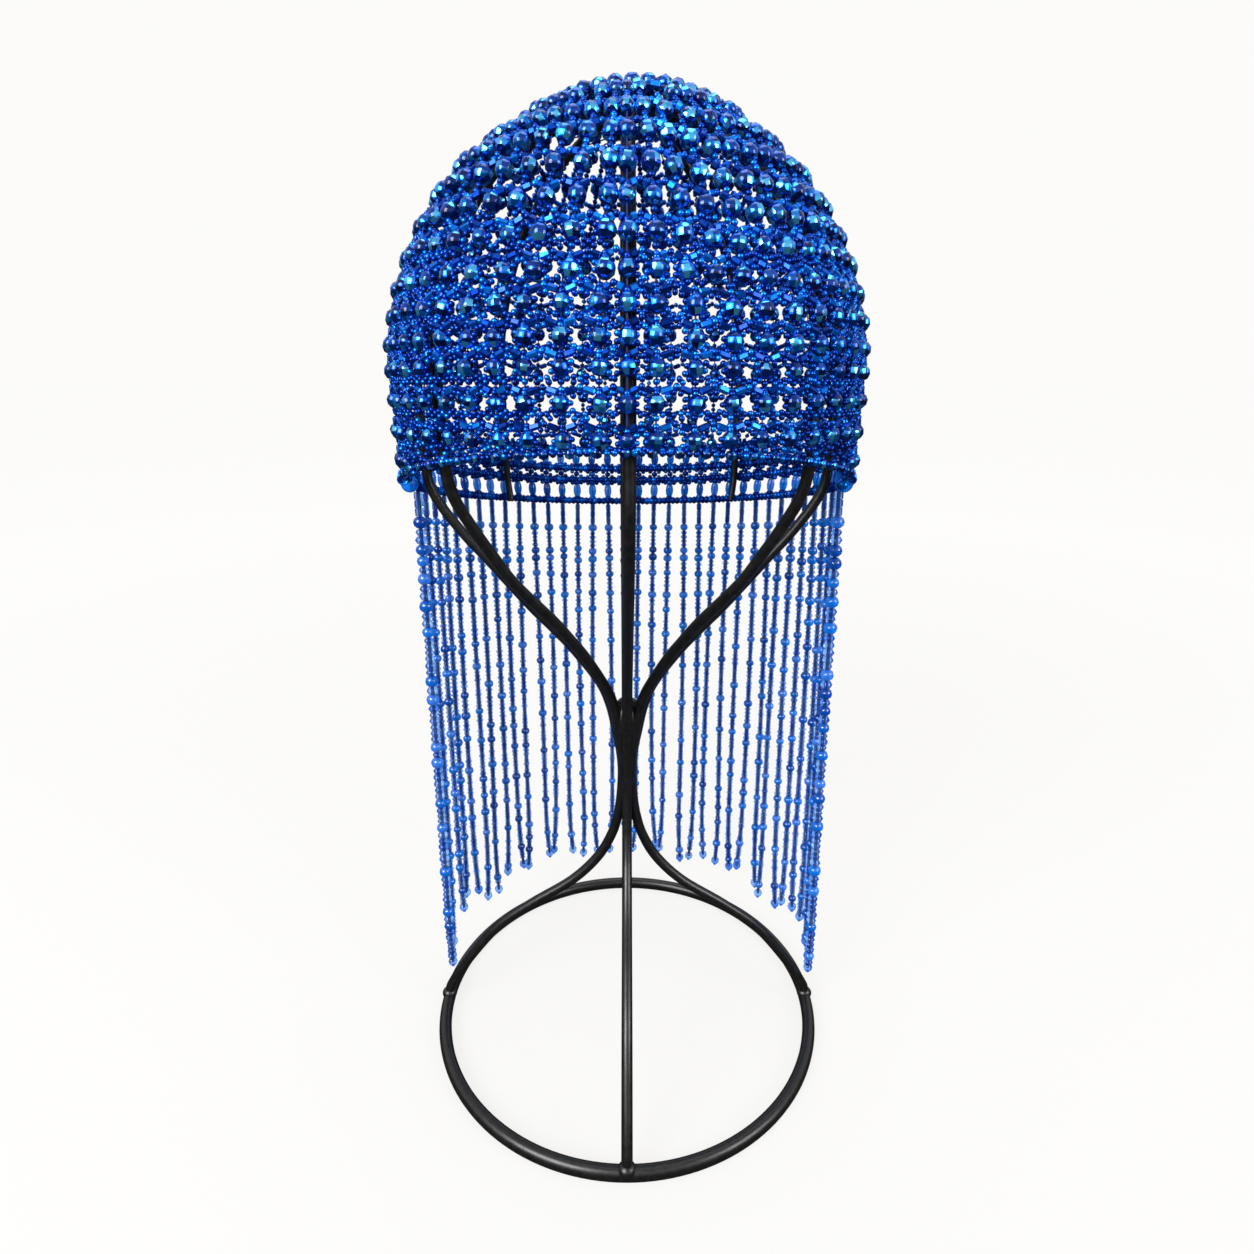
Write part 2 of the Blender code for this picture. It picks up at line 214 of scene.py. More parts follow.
# Where the fringe ends: (azimuth, height of the tip, how far the tip leans outwards)
FRINGE_HEM = (
    (89, 0.0160, 0.0060), (95, 0.0310, 0.0060), (101, 0.0420, 0.0055), (111, 0.0325, 0.0050),
    (124, 0.0275, 0.0040), (134, 0.0375, 0.0030), (158, 0.0300, 0.0025), (170, 0.0345, 0.0020),
    (190, 0.0290, 0.0020), (204, 0.0360, 0.0025), (229, 0.0360, 0.0030), (237, 0.0280, 0.0035),
    (252, 0.0450, 0.0035), (258, 0.0400, 0.0035), (263, 0.0285, 0.0040), (268, 0.0155, 0.0040),
)
# Cast of the coated glass at its edges
COAT_TINT = (0.3, 0.6, 1.0, 1)

# Lamps of the stage: (name, place, width, power as a share of the key light's)
LAMPS = (
    ("key light", (-0.72, -0.88, 0.86), 0.72, 1.0),
    ("fill light", (0.95, -0.60, 0.66), 0.52, 0.34),
    ("top light", (0.05, 0.25, 1.45), 0.80, 0.22),
)
LAMP_TARGET = Vector((0, 0, 0.30))
CAMERA_PLACE = (0, -0.32036, 0.31811)
SENSOR_WIDTH = 36
SURROUND = (0.973, 0.965, 0.948, 1)
# Greys of the room that polished things mirror, from the horizon up: (height, grey)
ROOM_GREYS = ((0.0, 0.04), (0.12, 0.32), (0.36, 1.0), (0.9, 0.55))
FLOOR_HALF = 60.0
GLOW_REACH = 1.7


def number_property(label, words, default, **more):
    return bpy.props.FloatProperty(name=label, description=words, default=default, **more)


def length_property(label, words, millimetres):
    return number_property(label, words, millimetres * MM, subtype="DISTANCE", unit="LENGTH")


def colour_property(label, words, *colour):
    return bpy.props.FloatVectorProperty(
        name=label, description=words, default=(*colour, 1), size=4, min=0, max=1, subtype="COLOR"
    )


class HatSizes(bpy.types.PropertyGroup):
    bead: length_property("Large bead", "Diameter of the faceted beads of the cap", 6.1)
    low_bead: length_property("Lower bead", "Diameter of the faceted beads of the lowest rows", 5.7)
    rim_bead: length_property("Rim bead", "Diameter of the small faceted beads of the rim", 3.7)
    seed: length_property("Net seed", "Diameter of the seed beads of the net", 2.45)
    bugle: length_property("Bugle length", "Length of the bugle beads between the rows", 3.5)
    bugle_width: length_property("Bugle width", "Diameter of the bugle beads", 2.3)
    strand_seed: length_property("Fringe seed", "Diameter of the seed beads of the fringe", 3.5)
    strand_bead: length_property("Fringe bead", "Diameter of the round beads of a strand", 4.6)
    drop: length_property("Drop bead", "Diameter of the bead at the end of each strand", 4.8)
    thread: length_property("Thread", "Diameter of the beading thread", 0.60)
    wire: length_property("Wire", "Diameter of the stand's wires", 4.8)
    thin_wire: length_property("Thin wire", "Diameter of the two short ribs at the back", 3.2)


class HatColours(bpy.types.PropertyGroup):
    # The deep, royal, azure and palest facet colours of the large beads also stand in for painted
    # reflections and dark refractions
    deep: colour_property("Deep blue", "Darkest facets of the large beads", 0.0004, 0.018, 0.150)
    royal: colour_property("Royal blue", "Most facets of the large beads", 0.0006, 0.050, 0.380)
    azure: colour_property("Azure", "Bright facets of the large beads", 0.004, 0.210, 0.860)
    painted_glint: colour_property("Flash", "Palest facets of the large beads", 0.090, 0.560, 1.000)
    seed_dark: colour_property("Seed, dark", "Darkest seeds and bugles", 0.0004, 0.024, 0.215)
    seed_light: colour_property("Seed, light", "Lightest seeds and bugles", 0.005, 0.220, 0.860)
    strand_dark: colour_property("Strand, dark", "Darkest fringe beads", 0.055, 0.220, 0.820)
    strand_light: colour_property("Strand, light", "Lightest fringe beads", 0.240, 0.480, 0.960)
    thread: colour_property("Thread", "Beading thread", 0.0005, 0.004, 0.070)
    steel: colour_property("Steel", "Satin black paint of the stand", 0.0018, 0.0018, 0.0018)


class StageSettings(bpy.types.PropertyGroup):
    floor: colour_property("Floor", "Plain pale floor", 0.937, 0.930, 0.913)
    light: number_property("Surround light", "Strength of the even light all round", 1.0)
    room: number_property("Room", "Strength of the room that polished things mirror", 0.9)
    glow: number_property("Floor glow", "Even brightness of the floor", 0.955)
    dimming: number_property("Floor dimming", "How much less the floor glows by the stand", 0.078)
    key: number_property("Soft light", "Power of the large soft light in watts", 24.0)
    tilt: number_property(
        "Camera tilt",
        "How far the camera looks down",
        radians(18.316),
        subtype="ANGLE",
        unit="ROTATION",
    )
    lens: number_property("Lens", "Focal length of the camera", 21.531, unit="CAMERA")


def clamp(value):
    return min(max(value, 0.0), 1.0)


def polar(azimuth, radius, height):
    """The point at this azimuth, in degrees from the front, radius and height."""
    turn = radians(azimuth)
    return Vector((radius * sin(turn), -radius * cos(turn), height))


def cap_radius(height):
    """Radius of the bead surface at a height."""
    rise = height - CAP_WIDEST_HEIGHT
    if rise <= 0:
        return CAP_RADIUS - CAP_TUCK * rise * rise
    share = min(rise / CAP_RISE, 1.0)
    return CAP_RADIUS * (1 - share**CAP_ROUNDNESS) ** (1 / CAP_ROUNDNESS)


def cap_height(radius):
    """Height of the bead surface over the crown at a radius."""
    share = (1 - (radius / CAP_RADIUS) ** CAP_ROUNDNESS) ** (1 / CAP_ROUNDNESS)
    return CAP_WIDEST_HEIGHT + CAP_RISE * share


def crown_settle(place):
    """How far the net has sunk at a place near the crown: more on the left than on the right."""
    share = clamp((place.z - CROWN_SETTLES_FROM) / CROWN_SETTLES_OVER)
    middle, width = SETTLE_FADE
    return share * CROWN_SETTLE * clamp(middle - place.x / width)


def surface(azimuth, height, lift=0.0):
    """A point of the bead surface, with its directions along the row, up the net and outwards."""
    turn = radians(azimuth)
    along = Vector((cos(turn), sin(turn), 0))
    step = 0.0004
    top = min(height + step, CAP_WIDEST_HEIGHT + CAP_RISE)
    slope = (cap_radius(top) - cap_radius(height - step)) / (top - height + step)
    up = Vector((slope * sin(turn), -slope * cos(turn), 1)).normalized()
    out = along.cross(up)
    place = polar(azimuth, cap_radius(height), height) + out * lift
    place.z -= crown_settle(place)
    return place, along, up, out


def edge_height(azimuth):
    """The lowest edge of the hat: the beads of the rim in front, the lowest string behind."""
    return EDGE_HEIGHT + EDGE_TILT * cos(radians(azimuth))


def turn_from_front(azimuth):
    return abs((azimuth + 180) % 360 - 180)


def net_floor(azimuth):
    """The line that the rows of large beads stay above."""
    if turn_from_front(azimuth) <= RIM_FRONT_END:
        return edge_height(azimuth) + FRONT_FLOOR_RISE
    return edge_height(azimuth) + BACK_STRINGS[-1]


def right_share(azimuth):
    """From 0 in front to 1 on the right and back to 0 behind; 0 on the left."""
    turn = (azimuth + 180) % 360 - 180
    start, full, fade, end = RIGHT_SPAN
    share = clamp(min((turn - start) / (full - start), (end - turn) / (end - fade)))
    return share * share * (3 - 2 * share)


def row_height(row, azimuth):
    height, dip = NET_ROWS[row]
    sag = RIGHT_SAG[row] if row < len(RIGHT_SAG) else 0.0
    return height - dip * (1 - cos(radians(azimuth))) / 2 - sag * right_share(azimuth)


def row_place(row, azimuth):
    """The place and directions of a row of large beads at an azimuth."""
    return surface(azimuth, row_height(row, azimuth))


def edge_place(azimuth, rise=0.0):
    """The point this far over the lowest edge of the hat."""
    return surface(azimuth, edge_height(azimuth) + rise)[0]


def columns(fronts, counts):
    """Azimuths of the columns of a band, from those in front and the number on each side."""
    azimuths = [0.0, 180.0]
    for side, front, count in zip((1, -1), fronts, counts):
        rest = count - len(front)
        pitch = (LAST_COLUMN - front[-1]) / rest
        back = [front[-1] + pitch * (number + 1) for number in range(rest)]
        azimuths.extend(side * azimuth for azimuth in (*front, *back))
    return sorted(azimuths)


def smooth_path(rows, steps):
    """Points of a Catmull-Rom curve through rows of numbers, with steps to each row."""

    def between(p, q, r, s, t):
        start = 2 * q + (r - p) * t + (2 * p - 5 * q + 4 * r - s) * t * t
        return 0.5 * (start + (3 * q - p - 3 * r + s) * t**3)

    padded = [rows[0], *rows, rows[-1]]
    path = []
    for near in zip(padded, padded[1:], padded[2:], padded[3:]):
        for step in range(steps):
            path.append(tuple(between(*four, step / steps) for four in zip(*near)))
    path.append(tuple(rows[-1]))
    return path


def link(item):
    bpy.context.scene.collection.objects.link(item)
    return item


def mesh_object(name, shape, finish):
    mesh = bpy.data.meshes.new(name)
    shape.to_mesh(mesh)
    shape.free()
    if finish:
        mesh.materials.append(finish)
    return link(bpy.data.objects.new(name, mesh))


def take_place(item, slot, *nodes):
    """Gives a finished piece its body and hides the frame's nodes it stands for. Its slot is not
    used.
    """
    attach(item, BODY)
    if nodes:
        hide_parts(*nodes)
    return item


def evaluated_mesh(item):
    bpy.context.view_layer.update()
    graph = bpy.context.evaluated_depsgraph_get()
    return bpy.data.meshes.new_from_object(item.evaluated_get(graph))


def rib_share(point):
    """How wide a long rib is drawn at a point, as a share: a little slimmer above the neck."""
    slimming, start, over = RIB_SLIMMING
    return 1.0 - slimming * clamp((point[2] - start) / over)


def wires_object(name, paths, diameter, finish, resolution, share=None):
    """Round wires along several paths of points, as one mesh with closed ends."""
    curve = bpy.data.curves.new(name, "CURVE")
    curve.dimensions = "3D"
    curve.bevel_depth = diameter / 2
    curve.bevel_resolution = resolution
    curve.use_fill_caps = True
    for path in paths:
        closed = (Vector(path[0]) - Vector(path[-1])).length < 1e-6
        points = path[:-1] if closed else path
        spline = curve.splines.new("POLY")
        spline.points.add(len(points) - 1)
        spline.use_cyclic_u = closed
        spline.use_smooth = True
        for place, point in zip(spline.points, points):
            place.co = (point[0], point[1], point[2], 1)
            place.radius = share(point) if share else 1.0
    guide = link(bpy.data.objects.new(name + "_guide", curve))
    mesh = evaluated_mesh(guide)
    bpy.data.objects.remove(guide, do_unlink=True)
    shape = bmesh.new()
    shape.from_mesh(mesh)
    bpy.data.meshes.remove(mesh)
    bmesh.ops.remove_doubles(shape, verts=shape.verts, dist=1e-7)
    bmesh.ops.recalc_face_normals(shape, faces=shape.faces)
    item = mesh_object(name, shape, finish)
    item.data.shade_smooth()
    item.data.set_sharp_from_angle(angle=radians(50))
    return item


class Places:
    """Places for copies of one bead: where, which way, how large, and its tone from 0 to 1."""

    def __init__(self, seed):
        self.points = []
        self.turns = []
        self.sizes = []
        self.tones = []
        self.chance = random.Random(seed)

    def add(self, point, axis, size):
        """A bead with its hole along the axis, its size given as a width or as three lengths."""
        turn = Vector(axis).to_track_quat("Z", "Y")
        turn = turn @ Quaternion((0, 0, 1), self.chance.uniform(0, 2 * pi))
        sizes = (size, size, size) if isinstance(size, float) else size
        self.points.append(tuple(point))
        self.turns.append(tuple(turn))
        self.sizes.append(tuple(sizes))
        self.tones.append(self.chance.random())


def bead_setter():
    """The node group that sets a copy of a bead on each point and makes them one mesh."""
    name = "set beads"
    if name in bpy.data.node_groups:
        return bpy.data.node_groups[name]
    tree = bpy.data.node_groups.new(name, "GeometryNodeTree")
    sockets = tree.interface
    sockets.new_socket("Geometry", in_out="INPUT", socket_type="NodeSocketGeometry")
    sockets.new_socket("Bead", in_out="INPUT", socket_type="NodeSocketObject")
    sockets.new_socket("Geometry", in_out="OUTPUT", socket_type="NodeSocketGeometry")
    start = node(tree, "NodeGroupInput")
    end = node(tree, "NodeGroupOutput")
    bead = node(tree, "GeometryNodeObjectInfo")
    setter = node(tree, "GeometryNodeInstanceOnPoints")
    turn = node(tree, "GeometryNodeInputNamedAttribute", data_type="QUATERNION")
    set_inputs(turn, Name="turn")
    size = node(tree, "GeometryNodeInputNamedAttribute", data_type="FLOAT_VECTOR")
    set_inputs(size, Name="size")
    real = node(tree, "GeometryNodeRealizeInstances")
    for source, output, target, socket in (
        (start, "Geometry", setter, "Points"),
        (start, "Bead", bead, "Object"),
        (bead, "Geometry", setter, "Instance"),
        (turn, "Attribute", setter, "Rotation"),
        (size, "Attribute", setter, "Scale"),
        (setter, "Instances", real, "Geometry"),
        (real, "Geometry", end, "Geometry"),
    ):
        tree.links.new(source.outputs[output], target.inputs[socket])
    return tree


def set_beads(name, places, bead, finish):
    """One mesh with a copy of the bead at each place."""
    if not places.points:
        raise RuntimeError(f"{name} has no places for its beads")
    mesh = bpy.data.meshes.new(name + "_places")
    mesh.from_pydata(places.points, [], [])
    for label, kind, values in (
        ("turn", "QUATERNION", places.turns),
        ("size", "FLOAT_VECTOR", places.sizes),
        ("tone", "FLOAT", places.tones),
    ):
        layer = mesh.attributes.new(label, kind, "POINT")
        numbers = values if kind == "FLOAT" else [x for value in values for x in value]
        layer.data.foreach_set("vector" if kind == "FLOAT_VECTOR" else "value", numbers)
    item = link(bpy.data.objects.new(name, mesh))
    setter = item.modifiers.new("beads", "NODES")
    setter.node_group = bead_setter()
    socket = next(s for s in setter.node_group.interface.items_tree if s.name == "Bead")
    setter[socket.identifier] = bead
    made = evaluated_mesh(item)
    item.modifiers.clear()
    item.data = made
    made.name = name
    bpy.data.meshes.remove(mesh)
    for label in ("turn", "size"):
        if label in made.attributes:
            made.attributes.remove(made.attributes[label])
    made.materials.clear()
    made.materials.append(finish)
    return item


def set_each(bead, *rows):
    """Sets one kind of bead for each row of (name, places, maker of the finish, slot, nodes)."""
    for name, places, maker, slot, *nodes in rows:
        take_place(set_beads(name, places, bead, material(maker)), slot, *nodes)
    bpy.data.objects.remove(bead, do_unlink=True)


def seed_sizes(width, share=0.86):
    """Three lengths of a seed bead, a little flat along its hole."""
    return (width, width, width * share)


def as_bead(name, shape, smooth=True):
    """A finished bead shape as a hidden object, with its own number on each face."""
    facet = shape.faces.layers.float.new("facet")
    faces = sorted(shape.faces, key=lambda face: face.calc_center_median().to_tuple(4))
    for number, face in enumerate(faces):
        face.smooth = smooth
        face[facet] = (number * 0.37) % 1.0
    item = mesh_object(name, shape, None)
    item.hide_render = True
    return item


def round_bead(name, around=6, levels=4, pinch=None):
    """A round glass bead, drawn in at its holes where a pinch is given."""
    shape = bmesh.new()
    bmesh.ops.create_uvsphere(shape, u_segments=around, v_segments=levels, radius=0.5)
    if pinch:
        poles = [v for v in shape.verts if abs(v.co.z) > 0.49]
        bmesh.ops.scale(shape, verts=poles, vec=(1, 1, pinch))
    return as_bead(name, shape)


def faceted_bead(name, around=8, levels=5):
    """A fire-polished bead: a round bead cut in broad facets that the fire has softened."""
    return round_bead(name, around, levels, 0.92)


def bugle_bead(name, around=6):
    """A short tube bead with softened ends."""
    shape = bmesh.new()
    bmesh.ops.create_cone(
        shape, cap_ends=True, segments=around, radius1=0.5, radius2=0.5, depth=1.0
    )
    rims = [e for e in shape.edges if abs(e.verts[0].co.z - e.verts[1].co.z) < 1e-6]
    bmesh.ops.bevel(
        shape,
        geom=rims,
        offset=0.1,
        offset_type="OFFSET",
        affect="EDGES",
        segments=1,
        profile=0.5,
        material=-1,
    )
    return as_bead(name, shape, False)


def node(tree, kind, **settings):
    made = tree.nodes.new(kind)
    for label, value in settings.items():
        setattr(made, label, value)
    return made


def attribute(tree, name):
    return node(tree, "ShaderNodeAttribute", attribute_name=name).outputs["Fac"]

def maths(tree, operation, *values, **settings):
    """The result of a Math node, fed with sockets or plain numbers."""
    made = node(tree, "ShaderNodeMath", operation=operation, **settings)
    for socket, value in zip(made.inputs, values):
        if isinstance(value, float):
            socket.default_value = value
        else:
            tree.links.new(value, socket)
    return made.outputs[0]


def jumping_number(tree, *attributes):
    """A number from 0 to 1 that jumps about with (attribute, times) pairs, bead by bead."""
    parts = [maths(tree, "MULTIPLY", attribute(tree, name), times) for name, times in attributes]
    return maths(tree, "FRACT", maths(tree, "ADD", *parts))


def colour_steps(tree, factor, steps, target):
    """Feeds a socket with colours that follow a factor in steps of (place, colour)."""
    ramp = node(tree, "ShaderNodeValToRGB")
    points = ramp.color_ramp.elements
    while len(points) < len(steps):
        points.new(0.5)
    for point, (place, colour) in zip(points, steps):
        point.position = place
        point.color = colour
    tree.links.new(factor, ramp.inputs["Fac"])
    tree.links.new(ramp.outputs["Color"], target)


def set_inputs(made, **values):
    """Constant values of a node's sockets, with low lines for the blanks in their names."""
    for label, value in values.items():
        made.inputs[label.replace("_", " ")].default_value = value


def new_material(name, **values):
    finish = bpy.data.materials.new(name)
    finish.use_nodes = True
    tree = finish.node_tree
    shader = tree.nodes["Principled BSDF"]
    set_inputs(shader, **values)
    return finish, tree, shader


def fine_noise(tree, scale, detail):
    noise = node(tree, "ShaderNodeTexNoise")
    set_inputs(noise, Scale=scale, Detail=detail)
    tree.links.new(node(tree, "ShaderNodeTexCoord").outputs["Object"], noise.inputs["Vector"])
    return noise.outputs["Fac"]


def surface_bump(tree, shader, scale, strength, distance, normal=None):
    """A fine unevenness of the surface, over the shader's own normal or the one given."""
    noise = fine_noise(tree, scale, 3)
    bump = node(tree, "ShaderNodeBump")
    set_inputs(bump, Strength=strength, Distance=distance)
    tree.links.new(noise, bump.inputs["Height"])
    if normal:
        tree.links.new(normal, bump.inputs["Normal"])
    tree.links.new(bump.outputs["Normal"], shader.inputs["Normal"])
    return noise


def faceted_glass(colours):
    """Coated crystal: blue glass whose facets each take a shade from deep blue to a pale glint,
    picked at random, as painted reflections and dark refractions under a bright polish.
    """
    finish, tree, shader = new_material(
        "faceted blue glass",
        Roughness=0.13,
        Metallic=0.91,
        IOR=1.5,
        Specular_Tint=COAT_TINT,
        Coat_Weight=0.60,
        Coat_Roughness=0.04,
        Coat_IOR=1.5,
    )
    # Painted light: over the glass's own blue, the facets' shades stand in for its glints and dark
    # refractions
    steps = (
        (0.12, colours.deep),
        (0.34, colours.royal),
        (0.55, colours.royal),
        (0.74, colours.azure),
        (0.90, colours.painted_glint),
    )
    painted_facet_light = jumping_number(tree, ("facet", 7.31), ("tone", 13.7))
    colour_steps(tree, painted_facet_light, steps, shader.inputs["Base Color"])
    rounded = node(tree, "ShaderNodeMix", data_type="VECTOR")
    rounded.inputs["Factor"].default_value = 0.5
    sides = node(tree, "ShaderNodeNewGeometry")
    tree.links.new(sides.outputs["Normal"], rounded.inputs["A"])
    tree.links.new(sides.outputs["True Normal"], rounded.inputs["B"])
    surface_bump(tree, shader, 260, 0.2, 0.0006, rounded.outputs["Result"])
    return finish


def toned_glass(name, steps, **values):
    """Glass of beads that each have their own depth of blue, from dark to light."""
    finish, tree, shader = new_material(name, **values)
    colour_steps(tree, attribute(tree, "tone"), steps, shader.inputs["Base Color"])
    return finish, tree, shader


def seed_glass(colours):
    """Small beads of coated glass, duller than the large ones."""
    finish, tree, shader = toned_glass(
        "blue seed glass",
        ((0.0, colours.seed_dark), (0.6, colours.royal), (1.0, colours.seed_light)),
        Roughness=0.34,
        Metallic=0.90,
        IOR=1.5,
        Specular_Tint=COAT_TINT,
        Coat_Weight=0.18,
        Coat_Roughness=0.08,
    )
    surface_bump(tree, shader, 900, 0.15, 0.0002)
    return finish


def strand_glass(colours):
    """Clearer blue glass, through which the thread shows."""
    return toned_glass(
        "clear blue glass",
        ((0.0, colours.strand_dark), (1.0, colours.strand_light)),
        Roughness=0.05,
        IOR=1.22,
        Transmission_Weight=0.93,
        Coat_Weight=0.3,
        Coat_Roughness=0.05,
    )[0]


def bead_glass(colours):
    """Deeper blue glass of the rounder beads on the strands and the uprights of the rim."""
    return toned_glass(
        "deep blue glass",
        ((0.0, colours.royal), (0.6, colours.azure), (1.0, colours.strand_dark)),
        Roughness=0.06,
        IOR=1.5,
        Transmission_Weight=0.55,
        Coat_Weight=0.6,
        Coat_Roughness=0.03,
    )[0]


def beading_thread(colours):
    finish, tree, shader = new_material("beading thread", Roughness=0.55)
    steps = ((0.4, colours.thread), (0.9, colours.seed_dark))
    colour_steps(tree, fine_noise(tree, 700, 2), steps, shader.inputs["Base Color"])
    return finish


def satin_steel(colours):
    """Satin black paint with the faint unevenness of sprayed wire."""
    finish, tree, shader = new_material("satin black paint", Roughness=0.3, IOR=1.5)
    uneven = surface_bump(tree, shader, 420, 0.12, 0.0003)
    pale = tuple(min(1.0, value * 4) for value in colours.steel[:3])
    steps = ((0.25, colours.steel), (0.85, (*pale, 1)))
    colour_steps(tree, uneven, steps, shader.inputs["Base Color"])
    rough = node(tree, "ShaderNodeMapRange")
    set_inputs(rough, To_Min=0.25, To_Max=0.42)
    tree.links.new(uneven, rough.inputs["Value"])
    tree.links.new(rough.outputs["Result"], shader.inputs["Roughness"])
    return finish


def material(maker):
    """The finish that a maker gives, made once."""
    if maker.__name__ not in material.made:
        material.made[maker.__name__] = maker(bpy.context.scene.hat_colours)
    return material.made[maker.__name__]


material.made = {}
def rib_rows(start):
    """From a starting row up along the inside of the net to the crown."""
    rows = list(start)
    limit = CAP_RADIUS - RIB_INSET
    rise_limit = CAP_RISE - RIB_INSET
    low = rows[-1][1] + RIB_FIRST_STEP
    while low < CAP_WIDEST_HEIGHT - RIB_STOP:
        rows.append((cap_radius(low) - RIB_INSET, low))
        low += RIB_STEP
    turn = 0.02
    while True:
        height = rise_limit * sin(turn)
        radius = limit * (1 - (height / rise_limit) ** CAP_ROUNDNESS) ** (1 / CAP_ROUNDNESS)
        if radius < CROWN_STOP + RIB_STOP:
            break
        rows.append((radius, CAP_WIDEST_HEIGHT + height))
        turn += RIB_STEP / limit
    share = (1 - (CROWN_STOP / limit) ** CAP_ROUNDNESS) ** (1 / CAP_ROUNDNESS)
    rows.append((CROWN_STOP, CAP_WIDEST_HEIGHT + rise_limit * share))
    return rows


def rib_points(azimuth):
    """A long rib from the neck to the crown, turning from its leg to its own azimuth."""
    own_leg = azimuth in LEG_AZIMUTHS
    bend = LEG_AZIMUTHS.get(azimuth, azimuth)
    neck = [(0.0041, 0.1165), *NECK_PROFILE] if own_leg else [(0.0021, 0.1390), *NECK_PROFILE[2:]]
    profile = FLARE_PROFILE if own_leg else DIAGONAL_PROFILE
    rows = smooth_path([*neck, *rib_rows(profile)], 5)
    top = NECK_PROFILE[-1][1]
    points = []
    for radius, height in rows:
        share = clamp((height - WAIST_HEIGHT) / (top - WAIST_HEIGHT))
        points.append(polar(bend + share * (azimuth - bend), radius, height))
    return points


def weld_bead(shape, place, widths, around):
    bmesh.ops.create_uvsphere(
        shape,
        u_segments=around,
        v_segments=12,
        radius=0.5,
        matrix=Matrix.Translation(place) @ Matrix.Diagonal(widths),
    )


class HAT_OT_stand(bpy.types.Operator):
    """Makes the black wire stand: base ring, legs, neck, ribs and their welds"""

    bl_idname = "hat.stand"
    bl_label = "Wire Stand"

    def execute(self, context):
        sizes = context.scene.hat_sizes
        black = material(satin_steel)
        low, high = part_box("base_ring")
        radius = (high.x - low.x) / 2 - RING_SECTION / 2
        shape = bmesh.new()
        bmesh.ops.create_circle(shape, cap_ends=False, segments=24, radius=0.5)
        bmesh.ops.scale(shape, verts=shape.verts, vec=(RING_SECTION, high.z - low.z, 1))
        bmesh.ops.rotate(shape, verts=shape.verts, matrix=Matrix.Rotation(pi / 2, 3, "X"))
        middle = (high.z + low.z) / 2
        bmesh.ops.translate(shape, verts=shape.verts, vec=(radius, 0, middle))
        bmesh.ops.spin(
            shape,
            geom=[*shape.verts, *shape.edges],
            cent=(0, 0, 0),
            axis=(0, 0, 1),
            angle=2 * pi,
            steps=RING_STEPS,
            use_merge=True,
        )
        bmesh.ops.recalc_face_normals(shape, faces=shape.faces)
        ring = mesh_object("stand_ring", shape, black)
        ring.data.shade_smooth()
        take_place(ring, "black_steel", "base_ring")

        rows = smooth_path(LEG_PROFILE, 6)
        paths = [[polar(azimuth, r, h) for r, h in rows] for azimuth in LEGS]
        legs = wires_object("stand_legs", paths, sizes.wire, black, 6)
        take_place(legs, "black_steel", "front_leg", "right_leg", "back_leg", "left_leg")

        paths = [rib_points(azimuth) for azimuth in LONG_RIBS]
        ribs = wires_object("stand_ribs", paths, sizes.wire, black, 6, rib_share)
        front = ("front_rib", "front_right_rib", "front_left_rib")
        take_place(ribs, "black_steel", "neck", *front, "right_rib", "back_rib", "left_rib")
        rows = smooth_path(rib_rows(SHORT_RIB_PROFILE), 5)
        paths = [[polar(azimuth, r, h) for r, h in rows] for azimuth in SHORT_RIBS]
        thin = wires_object("stand_short_ribs", paths, sizes.thin_wire, black, 6)
        take_place(thin, "black_steel", "back_right_rib", "back_left_rib")

        shape = bmesh.new()
        for azimuth in LEGS:
            weld_bead(shape, polar(azimuth, 0.0949, high.z - 0.0012), FOOT_WELD, 20)
        top = CAP_WIDEST_HEIGHT + CAP_RISE - RIB_INSET
        for height, widths in ((top, CROWN_WELD), NECK_WELD):
            weld_bead(shape, (0, 0, height), widths, 28)
        welds = mesh_object("stand_welds", shape, black)
        welds.data.shade_smooth()
        take_place(welds, "black_steel", "crown_weld")
        return {"FINISHED"}


def rows_at(azimuth, first=0, last=len(NET_ROWS) - 1):
    """The rows of large beads that this azimuth has between two rows, from the top down."""
    floor = net_floor(azimuth) + ROW_CLEARANCE
    return [row for row in range(max(first, 0), last + 1) if row_height(row, azimuth) > floor]


def half_columns(azimuths):
    """(azimuth, next azimuth, middle) all the way round."""
    pairs = zip(azimuths, [*azimuths[1:], azimuths[0] + 360])
    return [(a, b, (a + b) / 2) for a, b in pairs]


def bead_width(row, sizes):
    if row < TOP_ROWS:
        return sizes.bead * TOP_BEAD_SHARE
    return sizes.bead if row < LOW_ROWS_FROM else sizes.low_bead


class HAT_OT_net_beads(bpy.types.Operator):
    """Sets the large faceted beads of the cap in rows and columns"""

    bl_idname = "hat.net_beads"
    bl_label = "Faceted Beads"

    def execute(self, context):
        sizes = context.scene.hat_sizes
        places = Places(11)
        shake = places.chance.uniform
        for first, last, fronts, counts in BANDS:
            for azimuth in columns(fronts, counts):
                for row in rows_at(azimuth, first, last):
                    if row == 0 and round(azimuth / TOP_ROW_PITCH) % 5 == 2:
                        continue
                    width = bead_width(row, sizes) * shake(0.95, 1.05)
                    turned = azimuth + shake(-0.25, 0.25)
                    height = row_height(row, azimuth) + shake(-1, 1) * 0.2 * MM
                    place, along, up, out = surface(turned, height)
                    axis = up + along * shake(-0.25, 0.25) + out * shake(-0.25, 0.25)
                    place += out * shake(-0.1, 0.3) * MM
                    places.add(place, axis, seed_sizes(width, 1.06))
        crown = [
            (360 * (number + 0.3) / count, radius)
            for radius, count in CROWN_RINGS
            for number in range(count)
        ]
        radius, start, end, count = CROWN_ARC
        crown += [(start + (end - start) * k / (count - 1), radius) for k in range(count)]
        for azimuth, radius in crown:
            place = polar(azimuth, radius, cap_height(radius) + 0.0002)
            place.z -= crown_settle(place)
            width = sizes.bead * shake(0.92, 1.02)
            tilt = Vector((shake(-1, 1), shake(-1, 1), shake(-0.3, 0.3)))
            places.add(place, tilt, width)
        row = ("net_beads", places, faceted_glass, "faceted_glass", "cap_net")
        set_each(faceted_bead("crystal"), row)
        return {"FINISHED"}


